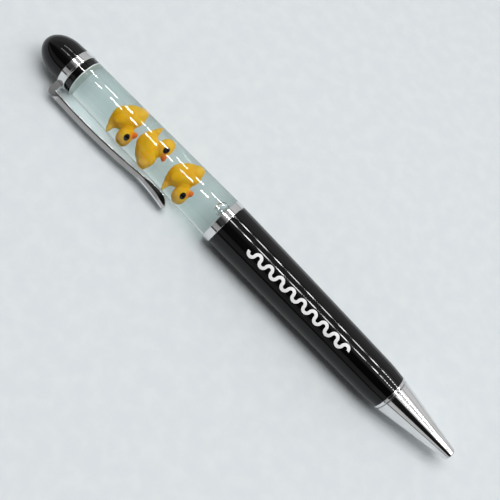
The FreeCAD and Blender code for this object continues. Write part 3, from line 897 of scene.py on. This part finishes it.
# The spoon's inner side falls from the kink to its low point on the tube and then curls up to the end,
# and its outer side rises along a bent curve to a rounded rim.
kink_under = tube_radius(spoon_start) + arm_gap_at(spoon_start)
kink_outer = kink_under + arm_thickness
spoon_gap = 0.04
low_point = tube_radius(spoon_middle) + spoon_gap
end_curl = 4.3
rise_bend = 1.16
rise_delay = 0.063
rim_rise = 0.94
rim_round = 0.45
rim_share = 1 - rim_round / spoon_length
leaf_shares = (0.08, 0.16, 0.24, 0.32, 0.4, 0.5, 0.6, 0.7, 0.78, 0.86, 0.92, rim_share, 0.985)
arm_steps = 14
stations = []
for step in range(1, arm_steps + 1):
    x = leg_end + crown_start + (arm_length - crown_start) * step / arm_steps
    under = tube_radius(x) + arm_gap_at(x)
    stations.append((x, under, under + arm_thickness, arm_half_width))
for share in leaf_shares:
    x = spoon_start + spoon_length * share
    leaf = spoon_half_width * math.sqrt(1 - (2 * share - 1) ** 2)
    width = max(leaf, arm_half_width) if share < 0.5 else leaf
    rise = rim_rise * share * (rise_bend * share - rise_delay)
    if share > rim_share:
        past_rim = (share - rim_share) / (1 - rim_share)
        rise = rim_rise - rim_round * (1 - math.sqrt(1 - past_rim ** 2))
    if share < 0.5:
        fall = 2 * share
        under = kink_under + (low_point - kink_under) * fall * fall * (3 - 2 * fall)
    else:
        end_under = kink_outer + rim_rise - rim_round
        under = low_point + (end_under - low_point) * (2 * share - 1) ** end_curl
    stations.append((x, under, kink_outer + rise, width))
print("clip stations:", len(stations))

# %% Tools that select parts of a mesh


def select_parts(piece, kind, wanted):
    """Selects in edit mode the faces, edges or points (kind FACE, EDGE or VERT) that are wanted."""
    bpy.ops.object.mode_set(mode="EDIT")
    bpy.ops.mesh.select_mode(type=kind)
    bpy.ops.mesh.select_all(action="DESELECT")
    bpy.ops.object.mode_set(mode="OBJECT")
    mesh = piece.data
    parts = {"FACE": mesh.polygons, "EDGE": mesh.edges, "VERT": mesh.vertices}[kind]
    for part in parts:
        part.select = wanted(part)
    bpy.ops.object.mode_set(mode="EDIT")


def select_faces(piece, wanted):
    """Selects the faces whose centre (in millimetres) and normal are wanted."""
    select_parts(piece, "FACE", lambda face: wanted(face.center / MM, face.normal))


def select_points(piece, wanted):
    """Selects the points whose place (in millimetres) is wanted."""
    select_parts(piece, "VERT", lambda point: wanted(point.co / MM))


def select_edges(piece, wanted):
    """Selects the edges whose two ends (in millimetres) are wanted."""

    def ends_wanted(edge):
        return wanted(*(piece.data.vertices[n].co / MM for n in edge.vertices))

    select_parts(piece, "EDGE", ends_wanted)


# %% Model the strip
corner_outer = tube_radius(leg_end) + arm_gap + arm_thickness
corner_under = corner_outer - arm_thickness
leg_depth = 0.8
leg_root = top_spigot_radius - leg_depth
same_place = 0.01
deselect_everything()
bpy.ops.mesh.primitive_cube_add(
    size=MM,
    location=((clip_band_start + leg_end) / 2 * MM, -(leg_root + corner_under) / 2 * MM, 0),
    scale=(leg_length, corner_under - leg_root, 2 * arm_half_width),
)
clip = bpy.context.object
clip.name = "pocket_clip_bright"
bpy.ops.object.transform_apply(location=True, rotation=True, scale=True)

# The leg's outer end is extruded by the arm's thickness, and the block this makes is the corner. The arm
# starts with a short square length. The outer corners of its end face are then cut into a low crown,
# longer than it is deep, which comes from stretching the piece while they are cut, and the arm goes on
# from that face. The leg narrows a little from the corner to the pen.
select_faces(clip, lambda centre, normal: normal.y < -0.9)
bpy.ops.mesh.extrude_region_move(TRANSFORM_OT_translate={"value": (0, -arm_thickness * MM, 0)})
leg_taper = 0.71
corner_taper = 0.9
for reach, share in ((leg_root, leg_taper), (corner_under, corner_taper)):
    select_points(clip, lambda place: abs(place.y + reach) < same_place)
    bpy.ops.transform.resize(value=(1, 1, share), center_override=(0, 0, 0))
crown_x = leg_end + crown_start
crown_under = tube_radius(crown_x) + arm_gap_at(crown_x)
crown_outer = crown_under + arm_thickness
rise_to_crown = crown_under - corner_under
select_faces(clip, lambda centre, normal: normal.x > 0.99 and centre.y < -corner_under)
bpy.ops.mesh.extrude_region_move(
    TRANSFORM_OT_translate={"value": (crown_start * MM, -rise_to_crown * MM, 0)}
)
select_points(clip, lambda place: (
    place.x > crown_x - same_place and abs(place.y + crown_under) < same_place
))
bpy.ops.transform.resize(value=(1, 1, 1 / corner_taper), center_override=(0, 0, 0))
bpy.ops.mesh.select_all(action="SELECT")
bpy.ops.transform.resize(value=(1, 1, 1 / crown_share), center_override=(0, 0, 0))
select_points(clip, lambda place: (
    place.x > crown_x - same_place and abs(place.y + crown_outer) < same_place
))
bpy.ops.mesh.bevel(offset=crown_length * MM, segments=1, affect="VERTICES")
bpy.ops.mesh.select_all(action="SELECT")
bpy.ops.transform.resize(value=(1, 1, crown_share), center_override=(0, 0, 0))
select_faces(clip, lambda centre, normal: normal.x > 0.99 and centre.x > crown_x - same_place)
here = (crown_x, crown_under, crown_outer, arm_half_width)
for station in stations:
    x, under, outer, width = station
    middle = (under + outer) / 2
    here_middle = (here[1] + here[2]) / 2
    bpy.ops.mesh.extrude_region_move(
        TRANSFORM_OT_translate={"value": ((x - here[0]) * MM, -(middle - here_middle) * MM, 0)}
    )
    thicker = (outer - under) / (here[2] - here[1])
    wider = width / here[3]
    bpy.ops.transform.resize(value=(1, thicker, wider), center_override=(x * MM, -middle * MM, 0))
    here = station
bpy.ops.object.mode_set(mode="OBJECT")
print("strip has", len(clip.data.polygons), "faces")

# %% [markdown]
# Spoon, corner and washer
#
# The outer edges of the leaf are rolled over, and its outer side is inset and pressed inwards for the
# dish. The corner gets a generous bevel on its outer edge, and every long edge a small one. The washer is
# turned on its own and joined to the strip. Each step of the dish is an inset in millimetres and a share
# of the dish's depth.

# %% Press the dish and round the corner
dish_depth = 1.3
dish_margin = 1.2
dish_half_width = 0.5
dish_steps = ((0.15, 0.3), (0.55, 0.7))
rolled_edge = 0.5
rolled_margin = 0.7
corner_round = 1.2
flat_angle_deg = 19
washer_thickness = 0.8
washer_end = clip_band_start + washer_thickness


def on_leaf_edge(place):
    """True for a point on the outer side of one of the leaf's stations."""
    on_leaf = spoon_start + rolled_margin < place.x < spoon_end - rolled_margin
    return on_leaf and any(
        abs(place.x - x) < same_place and abs(place.y + outer) < same_place
        for x, under, outer, width in stations
    )


def on_corner(place):
    """True for a point on the corner's outer edge."""
    return abs(place.x - clip_band_start) < same_place and abs(place.y + corner_outer) < same_place


select_edges(clip, lambda one, two: abs(one.x - two.x) > 0.1 and on_leaf_edge(one) and on_leaf_edge(two))
bpy.ops.mesh.bevel(offset=rolled_edge * MM, segments=5, affect="EDGES")
select_faces(clip, lambda centre, normal: (
    normal.y < -0.9
    and spoon_start + dish_margin < centre.x < spoon_end - dish_margin
    and abs(centre.z) < dish_half_width
))
for inset, share in dish_steps:
    bpy.ops.mesh.inset(thickness=inset * MM, depth=0)
    bpy.ops.transform.translate(value=(0, share * dish_depth * MM, 0))
select_edges(clip, lambda one, two: on_corner(one) and on_corner(two))
bpy.ops.mesh.bevel(offset=corner_round * MM, segments=6, affect="EDGES")
close_up()
round_edges(clip, 0.1, segments=5, angle_deg=40)
bpy.ops.mesh.customdata_custom_splitnormals_clear()
smooth_by_angle(clip, flat_angle_deg)

washer = turned_piece("clip_washer", [
    (clip_band_start, stud_radius),
    (clip_band_start, top_spigot_radius),
    (washer_end, top_spigot_radius),
    (washer_end, stud_radius),
], edge_mm=0.08)
washer.select_set(True)
clip.select_set(True)
bpy.context.view_layer.objects.active = clip
bpy.ops.object.join()
clip.data.transform(rolled)
dress(clip, chrome_plate, "chrome_plate", "upper", "clip")
print("clip has", len(clip.data.polygons), "faces")

# %% [markdown]
# Floor, camera and light
#
# The pen lies on a plain pale table. The camera looks down at it from the side that the clip is turned
# away from, and the frame is turned so that the pen runs from the upper left to the lower right. The
# light is a tunnel of pale paper with a dark gap where the camera stands, and two rows of narrow lamps
# overhead, which draw the two broken bright lines along every gloss surface. A soft box, hidden from the
# gloss, lights the rest. Table and lamps are large, so their sizes are in metres.

# %% Floor
table = new_finish("matt_pale_card")
card = noise(table, 4.0, detail=5.0)
card_surface = add_node(
    table,
    "ShaderNodeBsdfPrincipled",
    Base_Color=blend_colours(table, card.outputs[0], "#d4dadd", "#d9dee0"),
    Roughness=0.9,
)
finish_with(table, card_surface.outputs[0])
table_side = 3.0
deselect_everything()
bpy.ops.mesh.primitive_plane_add(size=table_side, location=(0, 0, -band_radius * MM))
floor = bpy.context.object
floor.name = "pale_table"
floor.data.materials.append(table)

# %% Camera
camera_distance = 220 * MM
frame_width = 120.7 * MM
sensor_width = 36.0
pen_slope = math.radians(45.87)
aim_along_pen = 9.46 * MM
aim_to_clip = 0.17 * MM
along_pen = Vector((1, 0, 0))
aim = aim_along_pen * along_pen + aim_to_clip * towards_clip
frame_right = math.cos(pen_slope) * along_pen - math.sin(pen_slope) * towards_clip
frame_up = -math.sin(pen_slope) * along_pen - math.cos(pen_slope) * towards_clip
bpy.ops.object.camera_add()
camera = bpy.context.object
camera.data.sensor_width = sensor_width
camera.data.lens = sensor_width * camera_distance / frame_width
camera.data.clip_start = 0.01
camera.data.clip_end = 20
facing = Matrix((frame_right, frame_up, towards_viewer)).transposed().to_4x4()
camera.matrix_world = Matrix.Translation(aim + camera_distance * towards_viewer) @ facing
bpy.context.scene.camera = camera
print("lens", round(camera.data.lens, 1), "mm")

# %% Lamps
row_turns_deg = (-27.4, -55.0)
lamp_height = 0.5
lamp_width = 0.036
lamp_lengths = (0.008, 0.013)
lamp_pitch = 0.019
row_middle = 0.01
row_offset = 0.6
lamps_in_row = 44
lamp_power = 0.05
faint_power = 0.014
faint_before = -0.24


def lamp_at(x, turn_deg, height, length, width, power):
    """An area lamp over the pen, turned about the pen from straight over the viewer's side."""
    turn = roll + math.radians(turn_deg)
    direction = Vector((0, -math.sin(turn), math.cos(turn)))
    deselect_everything()
    bpy.ops.object.light_add(type="AREA", location=Vector((x, 0, 0)) + height * direction)
    lamp = bpy.context.object
    lamp.data.shape = "RECTANGLE"
    lamp.data.size = length
    lamp.data.size_y = width
    lamp.data.energy = power
    lamp.rotation_euler = (turn, 0, 0)
    return lamp


for row, turn_deg in enumerate(row_turns_deg):
    for number in range(lamps_in_row):
        x = row_middle + lamp_pitch * (number - lamps_in_row / 2 + row_offset * row)
        lamp_length = lamp_lengths[(number + row) % 2]
        power = lamp_power if x > faint_before else faint_power
        small_lamp = lamp_at(x, turn_deg, lamp_height, lamp_length, lamp_width, power)
        small_lamp.visible_diffuse = False
        small_lamp.visible_transmission = False
soft_box = lamp_at(x=0.06, turn_deg=-32.0, height=0.8, length=0.85, width=0.5, power=5.0)
soft_box.visible_glossy = False
soft_box.visible_transmission = False
print("small lamps:", 2 * lamps_in_row)

# %% [markdown]
# The tunnel of paper
#
# The world's brightness depends on the angle round the pen, measured from straight up towards the
# camera's side. It is pale on the lamps' side, with one narrow dark gap, dark where the camera is and at
# the horizon, and grey low on the camera's side. Rays that go well towards the nose see levels of their
# own, because the tapered nose cone mirrors another part of the room than the straight pieces do.

# %% World
world = bpy.data.worlds.new("paper_tunnel")
bpy.context.scene.world = world
world.use_nodes = True
world.node_tree.nodes.clear()
direction_of_ray = add_node(world, "ShaderNodeTexCoord")
parts = add_node(world, "ShaderNodeSeparateXYZ", Vector=direction_of_ray.outputs["Generated"])
# The inputs of a maths node share one name, so they are linked by number
minus_y = add_node(world, "ShaderNodeMath", {"operation": "MULTIPLY"})
world.node_tree.links.new(parts.outputs[1], minus_y.inputs[0])
minus_y.inputs[1].default_value = -1.0
angle = add_node(world, "ShaderNodeMath", {"operation": "ARCTAN2"})
world.node_tree.links.new(minus_y.outputs[0], angle.inputs[0])
world.node_tree.links.new(parts.outputs[2], angle.inputs[1])
share = add_node(
    world, "ShaderNodeMapRange", Value=angle.outputs[0], From_Min=-math.pi, From_Max=math.pi
)
over_pen = [
    (-91, 0.02), (-86, 0.55), (-36, 0.60), (-34.5, 0.12), (-32.5, 0.12), (-31, 0.55), (-14, 0.38),
    (6, 0.5), (15, 0.3), (20, 0.16), (27, 0.05), (46, 0.04), (52, 0.01), (57, 0.01), (59, 0.29),
    (82, 0.38), (84, 0.02), (90, 0.02),
]
beyond_nose = [
    (-91, 0.02), (-86, 0.60), (-46, 0.66), (-44.5, 0.15), (-42, 0.15), (-40, 0.9), (-20, 0.95), (-15, 0.4),
    (-10, 0.85), (17, 0.85), (22, 0.01), (59, 0.005), (61, 0.50), (84, 0.52), (87, 0.02), (90, 0.02),
]


def paper_ramp(levels):
    """Grey levels against the angle round the pen."""
    ramp = add_node(world, "ShaderNodeValToRGB", Fac=share.outputs[0])
    elements = ramp.color_ramp.elements
    while len(elements) < len(levels):
        elements.new(0.5)
    for element, (degrees, level) in zip(elements, levels):
        element.position = (degrees + 180) / 360
        element.color = (level, level, level, 1)
    return ramp.outputs[0]


towards_nose = add_node(world, "ShaderNodeMapRange", Value=parts.outputs[0], From_Min=0.12, From_Max=0.3)
paper = add_node(world, "ShaderNodeMix", {"data_type": "RGBA"}, Factor=towards_nose.outputs[0])
world.node_tree.links.new(paper_ramp(over_pen), paper.inputs[6])
world.node_tree.links.new(paper_ramp(beyond_nose), paper.inputs[7])
tunnel = add_node(world, "ShaderNodeBackground", Color=paper.outputs[2], Strength=1.0)
add_node(world, "ShaderNodeOutputWorld", Surface=tunnel.outputs[0])
bpy.context.scene.view_settings.view_transform = "Standard"
